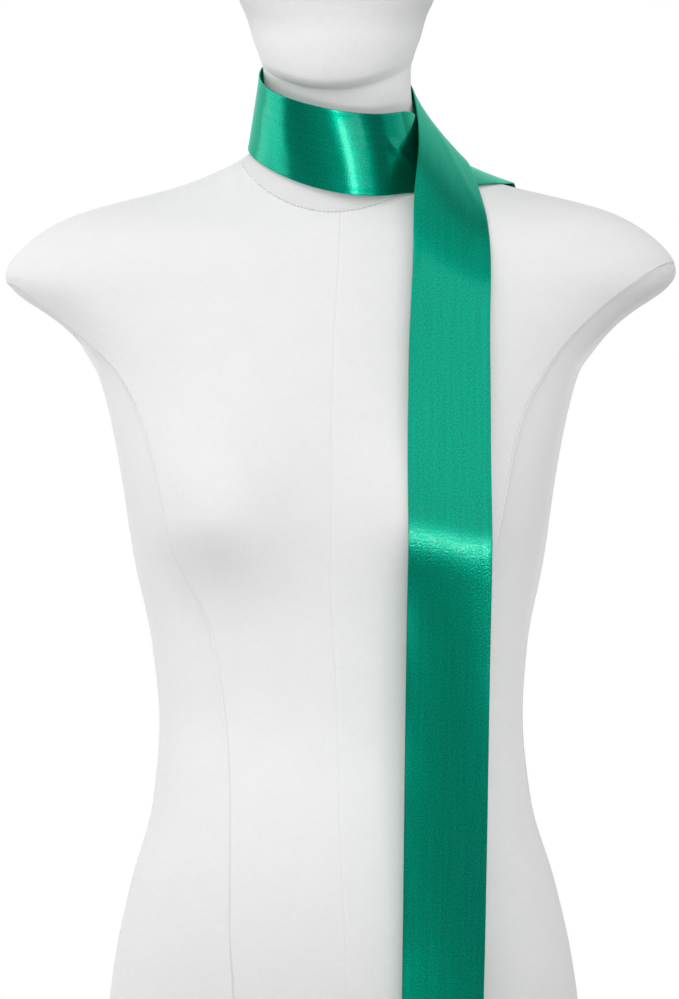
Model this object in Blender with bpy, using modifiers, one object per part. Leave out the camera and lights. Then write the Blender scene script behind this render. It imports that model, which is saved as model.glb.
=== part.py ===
"""A skinny satin scarf, wound once round the neck of a limbless dress form.

The form is a torso and a neck with a plain head, lofted from oval sections. The scarf is one
narrow strip, carried through the places where it passes and cut into the four stretches that
show. Metres, +Z up; the form faces -Y, and its own left side is at +X.
"""

import math
from typing import NamedTuple

import bpy
import numpy as np

# Driving sizes of the scarf
SCARF_WIDTH = 0.055
SCARF_WALL = 0.0012
SCARF_GAP = 0.0004
SCARF_COLUMNS = 5

# Driving sizes of the dress form
FORM_BASE_ROUND = 0.007
FORM_BASE_ROUND_RINGS = 3
FORM_GAP = 0.0004
RINGS_PER_SECTION = 2
TORSO_SIDES = 64
HEAD_SIDES = 48
HEAD_TOP = 0.950

# How closely a section's drop and rise gather at the centre line
DROP_SHAPE = 1.5

# Half the length of cloth over which the scarf's direction is read
DIRECTION_REACH = 0.0001

COLLECTION_NAME = "skinny_scarf_on_dress_form"


class Section(NamedTuple):
    """One oval section of the form, seen from above."""

    height: float  # of its two side points
    half_width: float
    front: float  # distance of its front point before the mid-plane
    back: float  # distance of its back point behind the mid-plane
    middle: float  # depth of its two side points
    drop: float  # how far its front point lies below the side points
    rise: float  # how far its back point lies above the side points
    square: float  # 2 is an ellipse, more is squarer


TORSO = (
    Section(0.000, 0.158, 0.096, 0.118, 0.010, 0.000, 0.000, 2.2),
    Section(0.055, 0.163, 0.102, 0.128, 0.012, 0.000, 0.000, 2.2),
    Section(0.093, 0.1635, 0.104, 0.131, 0.012, 0.000, 0.000, 2.2),
    Section(0.134, 0.159, 0.103, 0.129, 0.012, 0.000, 0.000, 2.2),
    Section(0.190, 0.147, 0.099, 0.120, 0.010, 0.000, 0.000, 2.15),
    Section(0.245, 0.1314, 0.092, 0.102, 0.006, 0.000, 0.000, 2.1),
    Section(0.300, 0.1266, 0.087, 0.093, 0.003, 0.000, 0.000, 2.1),
    Section(0.355, 0.1314, 0.091, 0.095, 0.002, 0.000, 0.000, 2.2),
    Section(0.410, 0.1428, 0.097, 0.102, 0.002, 0.000, 0.000, 2.3),
    Section(0.466, 0.151, 0.099, 0.108, 0.003, 0.000, 0.000, 2.4),
    Section(0.521, 0.1625, 0.094, 0.111, 0.007, 0.000, 0.000, 2.4),
    Section(0.548, 0.1725, 0.089, 0.111, 0.009, 0.000, 0.000, 2.4),
    Section(0.576, 0.197, 0.082, 0.109, 0.010, 0.000, 0.000, 2.3),
    Section(0.590, 0.2185, 0.077, 0.107, 0.011, 0.000, 0.000, 2.2),
    Section(0.598, 0.2295, 0.0748, 0.1055, 0.0115, 0.000, 0.000, 2.2),
    Section(0.604, 0.233, 0.073, 0.104, 0.012, 0.000, 0.000, 2.2),
    Section(0.612, 0.233, 0.0713, 0.1023, 0.0115, 0.0030, 0.0010, 2.2),
    Section(0.6185, 0.2290, 0.0697, 0.1007, 0.011, 0.0055, 0.0022, 2.2),
    Section(0.631, 0.2175, 0.0665, 0.098, 0.010, 0.011, 0.005, 2.2),
    Section(0.645, 0.197, 0.064, 0.095, 0.011, 0.018, 0.008, 2.2),
    Section(0.655, 0.172, 0.0625, 0.090, 0.011, 0.024, 0.010, 2.2),
    Section(0.661, 0.145, 0.0615, 0.083, 0.011, 0.027, 0.013, 2.1),
    Section(0.668, 0.1135, 0.0605, 0.075, 0.010, 0.0305, 0.0165, 2.0),
    Section(0.6745, 0.0955, 0.059, 0.068, 0.009, 0.0340, 0.0215, 2.0),
    Section(0.687, 0.067, 0.0555, 0.0555, 0.004, 0.0410, 0.029, 2.0),
)

HEAD = (
    Section(0.687, 0.067, 0.0555, 0.0555, 0.004, 0.0410, 0.029, 2.0),
    Section(0.696, 0.0575, 0.0520, 0.0515, 0.001, 0.0340, 0.027, 2.0),
    Section(0.707, 0.0535, 0.0520, 0.0490, -0.001, 0.0300, 0.026, 2.0),
    Section(0.721, 0.0518, 0.0535, 0.0475, -0.003, 0.0265, 0.026, 2.0),
    Section(0.735, 0.0506, 0.0570, 0.0465, -0.005, 0.0240, 0.024, 2.0),
    Section(0.748, 0.0508, 0.0610, 0.0460, -0.007, 0.0220, 0.022, 2.0),
    Section(0.758, 0.0535, 0.078, 0.0475, -0.009, 0.025, 0.0205, 2.05),
    Section(0.769, 0.0575, 0.0855, 0.052, -0.009, 0.0234, 0.0187, 2.1),
    Section(0.783, 0.0615, 0.0905, 0.059, -0.009, 0.0203, 0.017, 2.15),
    Section(0.797, 0.0673, 0.093, 0.068, -0.008, 0.0166, 0.0147, 2.2),
    Section(0.824, 0.073, 0.093, 0.082, -0.005, 0.0092, 0.0092, 2.2),
    Section(0.850, 0.0755, 0.090, 0.091, -0.002, 0.003, 0.003, 2.2),
    Section(0.880, 0.074, 0.084, 0.092, 0.000, 0.000, 0.000, 2.1),
    Section(0.910, 0.066, 0.071, 0.084, 0.002, 0.000, 0.000, 2.0),
    Section(0.932, 0.050, 0.052, 0.065, 0.003, 0.000, 0.000, 2.0),
    Section(0.945, 0.030, 0.030, 0.042, 0.004, 0.000, 0.000, 2.0),
)


class Swell(NamedTuple):
    """A soft rounding that pushes the form's surface forward or back on both sides."""

    side: float  # distance of its peak from the centre line
    height: float
    push: float  # positive is forward, negative is backward
    spread_side: float
    spread_up: float
    spread_down: float


SWELLS = (
    Swell(0.078, 0.440, 0.034, 0.046, 0.062, 0.036),
    Swell(0.075, 0.540, -0.006, 0.050, 0.060, 0.060),
    Swell(0.065, 0.095, -0.007, 0.055, 0.060, 0.060),
)


class Pass(NamedTuple):
    """A place that the middle of the scarf passes, from the front end to the back end."""

    x: float
    y: float
    z: float
    heading: float  # degrees that its outer face looks round: 0 front, 90 own left, 180 back
    lift: float  # degrees that its outer face looks up


PASSES = (
    Pass(0.0700, -0.1185, 0.040, -13, 0),
    Pass(0.0722, -0.1192, 0.123, -10, 0),
    Pass(0.0764, -0.1214, 0.320, -1.5, 0),
    Pass(0.0780, -0.1239, 0.385, 2.5, 0),
    Pass(0.0789, -0.1245, 0.425, 4.5, 3),
    Pass(0.0785, -0.1205, 0.464, 7, 12),
    Pass(0.0784, -0.1065, 0.520, 11, 15),
    Pass(0.0789, -0.0930, 0.570, 16, 16),
    Pass(0.0799, -0.0770, 0.618, 22, 22),
    Pass(0.0788, -0.0625, 0.6465, 34, 33),
    Pass(0.0776, -0.0448, 0.6696, 54, 38),
    Pass(0.0746, -0.0207, 0.6910, 71, 40),
    Pass(0.0674, 0.0090, 0.7095, 88, 37),
    Pass(0.0440, 0.0430, 0.7238, 135, 22),
    Pass(0.0000, 0.0602, 0.7350, 180, 15),
    Pass(-0.0410, 0.0427, 0.7338, 222, 14),
    Pass(-0.0573, -0.0070, 0.7202, 272, 10),
    Pass(-0.0424, -0.0470, 0.7025, 314, -14),
    Pass(0.0000, -0.0630, 0.6870, 360, -16),
    Pass(0.0340, -0.0560, 0.6845, 393, -7),
    Pass(0.0537, -0.0382, 0.6876, 423, 5),
    Pass(0.0715, -0.0132, 0.6835, 440, 41),
    Pass(0.0906, 0.0168, 0.6812, 450, 62),
    Pass(0.0960, 0.0473, 0.6815, 480, 64),
    Pass(0.0969, 0.0760, 0.6687, 515, 47),
    Pass(0.0966, 0.0956, 0.6402, 526, 25),
    Pass(0.0960, 0.1045, 0.6050, 528, 13),
    Pass(0.0955, 0.1100, 0.5600, 529, 6),
    Pass(0.0940, 0.1130, 0.4800, 530, 2),
    Pass(0.0925, 0.1140, 0.3000, 532, 0),
)

# Where the scarf is divided, as numbers of the passes above
FRONT_END = 0.0
BESIDE_NECK = 12.6
RIGHT_SIDE = 15.8
UNDER_TAIL = 20.4
BACK_END = 29.0


class Stretch(NamedTuple):
    """One stretch of the scarf between two divisions."""

    name: str
    start: float
    end: float
    step: float  # length of cloth between two rows of points


STRETCHES = (
    Stretch("scarf_front_tail", FRONT_END, BESIDE_NECK, 0.014),
    Stretch("scarf_nape", BESIDE_NECK, RIGHT_SIDE, 0.005),
    Stretch("scarf_neck_band", RIGHT_SIDE, UNDER_TAIL, 0.005),
    Stretch("scarf_back_tail", UNDER_TAIL, BACK_END, 0.012),
)


class Finish(NamedTuple):
    """The plain colour and gloss of a piece."""

    name: str
    colour: tuple
    roughness: float
    metallic: float


LINEN = Finish(name="linen_cover", colour=(0.80, 0.79, 0.77), roughness=0.90, metallic=0.0)
SATIN = Finish(name="green_satin", colour=(0.0, 0.29, 0.17), roughness=0.35, metallic=0.0)


def clear_scene():
    """Remove every object of the open file."""
    for item in list(bpy.data.objects):
        bpy.data.objects.remove(item, do_unlink=True)


def make_collection(name):
    """Make a collection in the scene and return it."""
    collection = bpy.data.collections.new(name)
    bpy.context.scene.collection.children.link(collection)
    return collection


def make_material(finish):
    """Make the Principled BSDF material of a finish."""
    material = bpy.data.materials.new(finish.name)
    material.use_nodes = True
    shader = material.node_tree.nodes["Principled BSDF"]
    shader.inputs["Base Color"].default_value = (*finish.colour, 1.0)
    shader.inputs["Roughness"].default_value = finish.roughness
    shader.inputs["Metallic"].default_value = finish.metallic
    return material


def add_object(name, points, faces, material, collection):
    """Make a smooth-shaded mesh object from rows of points and faces."""
    mesh = bpy.data.meshes.new(name)
    mesh.from_pydata([tuple(point) for point in points], [], faces)
    mesh.update()
    mesh.shade_smooth()
    mesh.materials.append(material)
    item = bpy.data.objects.new(name, mesh)
    collection.objects.link(item)
    return item


def even_curve(knots, values, places):
    """Cubic curve through values that never overshoots between two of them."""
    step = np.diff(knots)
    slope = np.diff(values) / step
    before, after = slope[:-1], slope[1:]
    same_way = before * after > 0
    total = np.where(same_way, before + after, 1.0)
    tangent = np.empty(len(values))
    tangent[1:-1] = np.where(same_way, 2 * before * after / total, 0.0)
    tangent[0], tangent[-1] = slope[0], slope[-1]
    low = np.clip(np.searchsorted(knots, places, side="right") - 1, 0, len(step) - 1)
    part = (places - knots[low]) / step[low]
    rest = 1 - part
    return (
        values[low] * (1 + 2 * part) * rest**2
        + tangent[low] * step[low] * part * rest**2
        + values[low + 1] * part**2 * (3 - 2 * part)
        - tangent[low + 1] * step[low] * part**2 * rest
    )


def spline(knots, values, places):
    """Natural cubic spline through rows of values, read at the given places."""
    step = np.diff(knots)[:, None]
    slope = np.diff(values, axis=0) / step
    count = len(knots)
    system = np.eye(count)
    load = np.zeros_like(values)
    for row in range(1, count - 1):
        system[row, row - 1] = step[row - 1, 0]
        system[row, row] = 2 * (step[row - 1, 0] + step[row, 0])
        system[row, row + 1] = step[row, 0]
        load[row] = 6 * (slope[row] - slope[row - 1])
    bend = np.linalg.solve(system, load)
    low = np.clip(np.searchsorted(knots, places, side="right") - 1, 0, count - 2)
    width = step[low]
    left = (knots[low + 1] - places)[:, None]
    right = (places - knots[low])[:, None]
    return (
        (bend[low] * left**3 + bend[low + 1] * right**3) / (6 * width)
        + (values[low] / width - bend[low] * width / 6) * left
        + (values[low + 1] / width - bend[low + 1] * width / 6) * right
    )


def sections_between(sections, lowest=0.0):
    """The sections of a table from a lowest height up, with further ones between them."""
    table = np.array(sections)
    count = RINGS_PER_SECTION * (len(table) - 1) + 1
    places = np.interp(np.linspace(0, len(table) - 1, count), np.arange(len(table)), table[:, 0])
    if lowest > 0:
        turn = np.linspace(0, math.pi / 2, FORM_BASE_ROUND_RINGS, endpoint=False)
        foot = lowest * (1 - np.cos(turn))
        places = np.concatenate([foot, [lowest], places[places > lowest]])
    columns = [even_curve(table[:, 0], column, places) for column in table.T]
    return [Section(*values) for values in zip(*columns)]


def push_of_swells(x, height, facing):
    """How far the swells push points forward; facing is 1 at the front and -1 at the back."""
    total = np.zeros_like(x)
    for swell in SWELLS:
        spread = np.where(height > swell.height, swell.spread_up, swell.spread_down)
        upright = np.exp(-(((height - swell.height) / spread) ** 2))
        across = np.exp(-(((np.abs(x) - swell.side) / swell.spread_side) ** 2))
        share = np.clip(facing * math.copysign(1.0, swell.push) * 2, 0, 1)
        total += swell.push * upright * across * share**2 * (3 - 2 * share)
    return total


def ring_points(section, sides):
    """Points of one section, from its front point round by the form's own left."""
    turn = np.arange(sides) * 2 * math.pi / sides
    forward = np.cos(turn)
    sideways = np.sin(turn)
    power = 2 / section.square
    reach = np.where(forward > 0, section.front + section.middle, section.back - section.middle)
    x = section.half_width * np.sign(sideways) * np.abs(sideways) ** power
    y = section.middle - reach * np.sign(forward) * np.abs(forward) ** power
    fall = np.where(forward > 0, -section.drop, section.rise)
    z = section.height + fall * np.abs(forward) ** DROP_SHAPE
    y = y - push_of_swells(x, z, forward)
    return np.stack([x, y, z], axis=1)


def foot_inset(height):
    """How far the rounded foot draws in at a height."""
    if height >= FORM_BASE_ROUND:
        return 0.0
    return FORM_BASE_ROUND - math.sqrt(FORM_BASE_ROUND**2 - (FORM_BASE_ROUND - height) ** 2)


def loft(name, rings, top, bottom, material, collection):
    """Close a row of rings into one body with a middle point at each end."""
    sides = len(rings[0])
    points = np.concatenate([*rings, [bottom], [top]])
    low_end = len(points) - 2
    high_end = len(points) - 1
    last = (len(rings) - 1) * sides
    faces = []
    for ring in range(len(rings) - 1):
        for side in range(sides):
            first = ring * sides + side
            second = ring * sides + (side + 1) % sides
            faces.append((first, second, second + sides, first + sides))
    for side in range(sides):
        following = (side + 1) % sides
        faces.append((low_end, following, side))
        faces.append((high_end, last + side, last + following))
    return add_object(name, points, faces, material, collection)


def make_torso(material, collection):
    """The torso, from its flat foot to the neck seam."""
    rings = []
    for section in sections_between(TORSO, FORM_BASE_ROUND):
        inset = foot_inset(section.height)
        rings.append(
            ring_points(
                section._replace(
                    half_width=section.half_width - inset,
                    front=section.front - inset,
                    back=section.back - inset,
                ),
                TORSO_SIDES,
            )
        )
    rings[-1][:, 2] -= FORM_GAP
    bottom = (0.0, rings[0][:, 1].mean(), 0.0)
    top = rings[-1].mean(axis=0)
    return loft("form_torso", rings, top, bottom, material, collection)


def make_head(material, collection):
    """The neck and the plain egg-shaped head."""
    rings = [ring_points(section, HEAD_SIDES) for section in sections_between(HEAD)]
    bottom = rings[0].mean(axis=0)
    top = (0.0, rings[-1][:, 1].mean(), HEAD_TOP)
    return loft("form_head", rings, top, bottom, material, collection)


def unit(vectors):
    """Rows of vectors made one long."""
    return vectors / np.linalg.norm(vectors, axis=1, keepdims=True)


class Strip:
    """The scarf's middle line, with the direction across it and the way its face looks."""

    def __init__(self, passes):
        table = np.array(passes)
        self.table = table
        run = np.linalg.norm(np.diff(table[:, :3], axis=0), axis=1)
        self.knots = np.concatenate([[0.0], np.cumsum(run)])

    def place_of(self, number):
        """Distance along the chords at a pass number, which may lie between two passes."""
        return float(np.interp(number, np.arange(len(self.knots)), self.knots))

    def frame(self, places):
        """Middle points and directions across at distances along the scarf."""
        rows = spline(self.knots, self.table, places)
        ahead = spline(self.knots, self.table[:, :3], places + DIRECTION_REACH)
        behind = spline(self.knots, self.table[:, :3], places - DIRECTION_REACH)
        along = unit(ahead - behind)
        heading = np.radians(rows[:, 3])
        lift = np.radians(rows[:, 4])
        looks = np.stack(
            [
                np.sin(heading) * np.cos(lift),
                -np.cos(heading) * np.cos(lift),
                np.sin(lift),
            ],
            axis=1,
        )
        return rows[:, :3], unit(np.cross(looks, along))


def make_stretch(strip, stretch, material, collection):
    """One stretch of the scarf, as an open sheet that is given its wall."""
    start = strip.place_of(stretch.start) + SCARF_GAP / 2
    end = strip.place_of(stretch.end) - SCARF_GAP / 2
    rows = max(2, round((end - start) / stretch.step)) + 1
    middle, across = strip.frame(np.linspace(start, end, rows))
    shares = np.linspace(-0.5, 0.5, SCARF_COLUMNS)
    sheet = middle[:, None, :] + across[:, None, :] * SCARF_WIDTH * shares[None, :, None]
    points = sheet.reshape(-1, 3)
    faces = []
    for row in range(rows - 1):
        for column in range(SCARF_COLUMNS - 1):
            first = row * SCARF_COLUMNS + column
            above = first + SCARF_COLUMNS
            faces.append((first, above, above + 1, first + 1))
    item = add_object(stretch.name, points, faces, material, collection)
    wall = item.modifiers.new("wall", "SOLIDIFY")
    wall.thickness = SCARF_WALL
    wall.offset = 0.0
    return item


def main():
    """Build the dress form and the scarf."""
    clear_scene()
    collection = make_collection(COLLECTION_NAME)
    linen = make_material(LINEN)
    satin = make_material(SATIN)
    make_torso(linen, collection)
    make_head(linen, collection)
    strip = Strip(PASSES)
    for stretch in STRETCHES:
        make_stretch(strip, stretch, satin, collection)


main()
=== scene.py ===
"""A skinny satin scarf, wound once round the neck of a limbless linen dress form.

The form's padded body is dressed with a fine linen cover: two front panels, side panels and back
panels that meet in sewn seams, and the cover of the neck and head, sewn on round the neck's foot.
The scarf is one long strip of satin, sewn flat as a tube, that hangs down the chest, goes round
the neck and leaves over the shoulder. Metres, +Z up; the form faces -Y.
"""

import logging
import math
from dataclasses import dataclass, field
from enum import Enum
from typing import NamedTuple

import bpy
import numpy as np
from mathutils import Matrix
from numpy.typing import NDArray


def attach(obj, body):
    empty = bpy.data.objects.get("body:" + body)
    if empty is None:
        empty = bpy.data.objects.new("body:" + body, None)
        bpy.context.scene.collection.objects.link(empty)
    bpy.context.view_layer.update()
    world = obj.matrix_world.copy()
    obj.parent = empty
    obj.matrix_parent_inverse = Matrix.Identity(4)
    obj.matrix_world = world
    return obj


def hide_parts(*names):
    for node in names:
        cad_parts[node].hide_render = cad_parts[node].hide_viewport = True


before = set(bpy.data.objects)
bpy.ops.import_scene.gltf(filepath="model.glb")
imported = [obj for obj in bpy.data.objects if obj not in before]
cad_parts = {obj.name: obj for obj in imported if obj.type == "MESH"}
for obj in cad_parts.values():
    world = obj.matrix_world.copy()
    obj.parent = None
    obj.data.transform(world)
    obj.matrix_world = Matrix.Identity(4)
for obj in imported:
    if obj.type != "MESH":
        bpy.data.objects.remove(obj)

LOG = logging.getLogger("skinny_scarf")
MM = 0.001
WAVE_KNOTS = 4096
TILT_POWER = 1.5
FACING_REACH = 0.5
Array = NDArray[np.float64]
Numbers = NDArray[np.int64]
Material = bpy.types.Material
Node = bpy.types.Node
Piece = bpy.types.Object
Socket = bpy.types.NodeSocket
Colour = tuple[float, float, float]
Inputs = dict[str | int, object]


class Panel(Enum):
    """How a panel of the torso's cover is cut."""

    WIDE = "front or back"
    SIDE = "side"


class Section(NamedTuple):
    """One oval section of the form, seen from above, in metres."""

    height: float
    half_width: float
    front: float
    back: float
    middle: float
    drop: float
    rise: float
    square: float


class Swell(NamedTuple):
    """A soft rounding that pushes the form's surface forward or back on both sides."""

    side: float
    height: float
    push: float
    spread_side: float
    spread_up: float
    spread_down: float


class SeamPlace(NamedTuple):
    """Where the torso's upright seams lie at one height, and how hollow its side panels are."""

    height: float
    centre: float
    right_front: float
    left_front: float
    back: float
    hollow: float


class Pass(NamedTuple):
    """A place that the middle of the scarf passes, with the way its outer face looks."""

    x: float
    y: float
    z: float
    heading: float
    lift: float


class Crease(NamedTuple):
    """A soft ridge or trough of the scarf between two places of its length and width."""

    start: float
    start_across: float
    end: float
    end_across: float
    height: float
    width: float


class Wave(NamedTuple):
    """A wave that wanders along the scarf, from seeded knots a pitch apart."""

    height: float
    pitch: float
    seed: int

    def at(self, places: Array) -> Array:
        """Read the wave, joined between its knots by a cosine.

        Args:
            places: distances along the scarf.

        Returns:
            One column of heights.
        """
        spot = places / self.pitch
        low = np.floor(spot).astype(int)
        table = np.random.default_rng(self.seed).uniform(-1, 1, WAVE_KNOTS)
        share = (1 - np.cos(math.pi * (spot - low))) / 2
        noise = table[low % WAVE_KNOTS] * (1 - share) + table[(low + 1) % WAVE_KNOTS] * share
        return self.height * noise[:, None]


TORSO_SECTIONS = tuple(map(Section._make, (
    (0.000, 0.158, 0.096, 0.118, 0.010, 0.000, 0.000, 2.2),
    (0.055, 0.163, 0.102, 0.128, 0.012, 0.000, 0.000, 2.2),
    (0.093, 0.1635, 0.104, 0.131, 0.012, 0.000, 0.000, 2.2),
    (0.134, 0.159, 0.103, 0.129, 0.012, 0.000, 0.000, 2.2),
    (0.190, 0.147, 0.099, 0.120, 0.010, 0.000, 0.000, 2.15),
    (0.245, 0.1314, 0.092, 0.102, 0.006, 0.000, 0.000, 2.1),
    (0.300, 0.1266, 0.087, 0.093, 0.003, 0.000, 0.000, 2.1),
    (0.355, 0.1314, 0.091, 0.095, 0.002, 0.000, 0.000, 2.2),
    (0.410, 0.1428, 0.097, 0.102, 0.002, 0.000, 0.000, 2.3),
    (0.466, 0.151, 0.099, 0.108, 0.003, 0.000, 0.000, 2.4),
    (0.521, 0.1625, 0.094, 0.111, 0.007, 0.000, 0.000, 2.4),
    (0.548, 0.1725, 0.089, 0.111, 0.009, 0.000, 0.000, 2.4),
    (0.576, 0.197, 0.082, 0.109, 0.010, 0.000, 0.000, 2.3),
    (0.590, 0.2185, 0.077, 0.107, 0.011, 0.000, 0.000, 2.2),
    (0.598, 0.2295, 0.0748, 0.1055, 0.0115, 0.000, 0.000, 2.2),
    (0.604, 0.233, 0.073, 0.104, 0.012, 0.000, 0.000, 2.2),
    (0.612, 0.233, 0.0713, 0.1023, 0.0115, 0.0030, 0.0010, 2.2),
    (0.6185, 0.2290, 0.0697, 0.1007, 0.011, 0.0055, 0.0022, 2.2),
    (0.631, 0.2175, 0.0665, 0.098, 0.010, 0.011, 0.005, 2.2),
    (0.645, 0.197, 0.064, 0.095, 0.011, 0.018, 0.008, 2.2),
    (0.655, 0.172, 0.0625, 0.090, 0.011, 0.024, 0.010, 2.2),
    (0.661, 0.145, 0.0615, 0.083, 0.011, 0.027, 0.013, 2.1),
    (0.668, 0.1135, 0.0605, 0.075, 0.010, 0.0305, 0.0165, 2.0),
    (0.6745, 0.0955, 0.059, 0.068, 0.009, 0.0340, 0.0215, 2.0),
    (0.687, 0.067, 0.0555, 0.0555, 0.004, 0.0410, 0.029, 2.0),
)))

HEAD_SECTIONS = tuple(map(Section._make, (
    (0.687, 0.067, 0.0555, 0.0555, 0.004, 0.0410, 0.029, 2.0),
    (0.696, 0.0575, 0.0520, 0.0515, 0.001, 0.0340, 0.027, 2.0),
    (0.707, 0.0535, 0.0520, 0.0490, -0.001, 0.0300, 0.026, 2.0),
    (0.721, 0.0518, 0.0535, 0.0475, -0.003, 0.0265, 0.026, 2.0),
    (0.735, 0.0506, 0.0570, 0.0465, -0.005, 0.0240, 0.024, 2.0),
    (0.748, 0.0508, 0.0610, 0.0460, -0.007, 0.0220, 0.022, 2.0),
    (0.758, 0.0535, 0.078, 0.0475, -0.009, 0.025, 0.0205, 2.05),
    (0.769, 0.0575, 0.0855, 0.052, -0.009, 0.0234, 0.0187, 2.1),
    (0.783, 0.0615, 0.0905, 0.059, -0.009, 0.0203, 0.017, 2.15),
    (0.797, 0.0673, 0.093, 0.068, -0.008, 0.0166, 0.0147, 2.2),
    (0.824, 0.073, 0.093, 0.082, -0.005, 0.0092, 0.0092, 2.2),
    (0.850, 0.0755, 0.090, 0.091, -0.002, 0.003, 0.003, 2.2),
    (0.880, 0.074, 0.084, 0.092, 0.000, 0.000, 0.000, 2.1),
    (0.910, 0.066, 0.071, 0.084, 0.002, 0.000, 0.000, 2.0),
    (0.932, 0.050, 0.052, 0.065, 0.003, 0.000, 0.000, 2.0),
    (0.945, 0.030, 0.030, 0.042, 0.004, 0.000, 0.000, 2.0),
)))

SWELLS = tuple(map(Swell._make, (
    (0.078, 0.440, 0.034, 0.046, 0.062, 0.036),
    (0.075, 0.540, -0.006, 0.050, 0.060, 0.060),
    (0.065, 0.095, -0.007, 0.055, 0.060, 0.060),
)))

SEAM_PLACES = tuple(map(SeamPlace._make, (
    (0.000, 0.0090, 0.0650, 0.0650, 0.070, 0.0006),
    (0.122, 0.0084, 0.0680, 0.0680, 0.072, 0.0007),
    (0.165, 0.0073, 0.0706, 0.0706, 0.072, 0.0008),
    (0.207, 0.0051, 0.0709, 0.0709, 0.070, 0.0009),
    (0.264, 0.0034, 0.0716, 0.0716, 0.066, 0.0012),
    (0.2975, 0.0026, 0.0737, 0.0737, 0.066, 0.0015),
    (0.331, 0.0015, 0.0775, 0.0775, 0.068, 0.0020),
    (0.361, 0.0003, 0.0825, 0.0825, 0.072, 0.0028),
    (0.387, -0.0011, 0.0921, 0.0921, 0.076, 0.0036),
    (0.407, -0.0010, 0.1030, 0.1030, 0.079, 0.0038),
    (0.4255, -0.0006, 0.1093, 0.1093, 0.083, 0.0034),
    (0.452, 0.0000, 0.1145, 0.1145, 0.088, 0.0028),
    (0.504, 0.0005, 0.1292, 0.1255, 0.101, 0.0028),
    (0.539, 0.0009, 0.1487, 0.1430, 0.120, 0.0036),
    (0.558, 0.0016, 0.1681, 0.1570, 0.139, 0.0048),
    (0.579, 0.0024, 0.1936, 0.1782, 0.168, 0.0050),
    (0.590, 0.0029, 0.2080, 0.1915, 0.190, 0.0042),
    (0.600, 0.0035, 0.2215, 0.2055, 0.213, 0.0030),
    (0.605, 0.0037, 0.2310, 0.2125, 0.229, 0.0022),
    (0.6125, 0.0040, 0.2500, 0.2258, 0.250, 0.0010),
    (0.620, 0.0042, 0.2600, 0.2500, 0.260, 0.0000),
    (0.720, 0.0055, 0.2700, 0.2700, 0.270, 0.0000),
)))

PANELS = (Panel.WIDE, Panel.SIDE, Panel.SIDE, Panel.WIDE) * 2

PASSES = tuple(map(Pass._make, (
    (0.0700, -0.1185, 0.040, -13, 0),
    (0.0722, -0.1192, 0.123, -10, 0),
    (0.0764, -0.1214, 0.320, -1.5, 0),
    (0.0780, -0.1239, 0.385, 2.5, 0),
    (0.0789, -0.1245, 0.425, 4.5, 3),
    (0.0785, -0.1205, 0.464, 7, 12),
    (0.0784, -0.1065, 0.520, 11, 15),
    (0.0789, -0.0930, 0.570, 16, 16),
    (0.0799, -0.0770, 0.618, 22, 22),
    (0.0788, -0.0625, 0.6465, 34, 33),
    (0.0776, -0.0448, 0.6696, 54, 38),
    (0.0746, -0.0207, 0.6910, 71, 40),
    (0.0674, 0.0090, 0.7095, 88, 37),
    (0.0440, 0.0430, 0.7238, 135, 22),
    (0.0000, 0.0602, 0.7350, 180, 15),
    (-0.0410, 0.0427, 0.7338, 222, 14),
    (-0.0573, -0.0070, 0.7202, 272, 10),
    (-0.0424, -0.0470, 0.7025, 314, -14),
    (0.0000, -0.0630, 0.6870, 360, -16),
    (0.0340, -0.0560, 0.6845, 393, -7),
    (0.0537, -0.0382, 0.6876, 423, 5),
    (0.0715, -0.0132, 0.6835, 440, 41),
    (0.0906, 0.0168, 0.6812, 450, 62),
    (0.0960, 0.0473, 0.6815, 480, 64),
    (0.0969, 0.0760, 0.6687, 515, 47),
    (0.0966, 0.0956, 0.6402, 526, 25),
    (0.0960, 0.1045, 0.6050, 528, 13),
    (0.0955, 0.1100, 0.5600, 529, 6),
    (0.0940, 0.1130, 0.4800, 530, 2),
    (0.0925, 0.1140, 0.3000, 532, 0),
)))

CREASES = tuple(map(Crease._make, (
    (19.15, 0.008, 20.00, -0.0125, 0.90 * MM, 3.0 * MM),
    (3.60, 0.000, 6.60, 0.000, 0.75 * MM, 40.0 * MM),
    (16.60, 0.020, 17.40, -0.020, -0.30 * MM, 6.0 * MM),
    (9.30, -0.024, 11.60, 0.004, 0.50 * MM, 4.5 * MM),
    (8.20, -0.012, 9.80, -0.022, -0.35 * MM, 4.0 * MM),
    (13.20, 0.022, 14.60, -0.018, 0.45 * MM, 5.0 * MM),
    (21.40, -0.026, 23.00, -0.026, 0.55 * MM, 9.0 * MM),
    (22.10, 0.020, 23.80, -0.020, 0.40 * MM, 5.0 * MM),
    (24.20, -0.022, 25.60, 0.016, -0.35 * MM, 6.0 * MM),
)))


def even_curve(knots: Array, values: Array, places: Array) -> Array:
    """Cubic curve through values that never overshoots between two of them.

    Args:
        knots: rising positions of the values.
        values: one value for each knot.
        places: positions to read.

    Returns:
        The curve's values at the places.
    """
    step = np.diff(knots)
    slope = np.diff(values) / step
    before, after = slope[:-1], slope[1:]
    same_way = before * after > 0
    total = np.where(same_way, before + after, 1.0)
    tangent = np.empty(len(values))
    tangent[1:-1] = np.where(same_way, 2 * before * after / total, 0.0)
    tangent[0], tangent[-1] = slope[0], slope[-1]
    low = np.clip(np.searchsorted(knots, places, side="right") - 1, 0, len(step) - 1)
    part = (places - knots[low]) / step[low]
    rest = 1 - part
    return (
        values[low] * (1 + 2 * part) * rest**2
        + tangent[low] * step[low] * part * rest**2
        + values[low + 1] * part**2 * (3 - 2 * part)
        - tangent[low + 1] * step[low] * part**2 * rest
    )


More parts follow.
